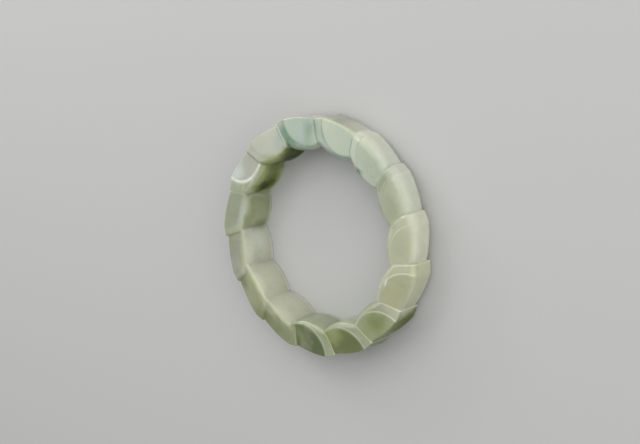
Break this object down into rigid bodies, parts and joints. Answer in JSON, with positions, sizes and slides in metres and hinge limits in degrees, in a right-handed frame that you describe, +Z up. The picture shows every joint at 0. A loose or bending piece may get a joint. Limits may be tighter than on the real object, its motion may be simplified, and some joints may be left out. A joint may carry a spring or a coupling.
{
  "type": "jade bangle",
  "caption": "Closed round bangle carved in one piece from pale green jade as a ring of overlapping scales, with bevelled facets on both faces and a scalloped wrist hole.",
  "frame": {"origin": "on the ring's axis, at the level of the underside that the bangle lies on", "axes": "+Z up along the ring's axis, +X through the valley at the free end of one scale, with the scales' free ends pointing counterclockwise seen from +Z"},
  "size_m": [0.0766, 0.0766, 0.0116],
  "materials": {
    "jade": "polished translucent pale green jade, clouded with grey-white and olive"
  },
  "bodies": {
    "root": {"bangle": "jade"}
  },
  "joints": []
}
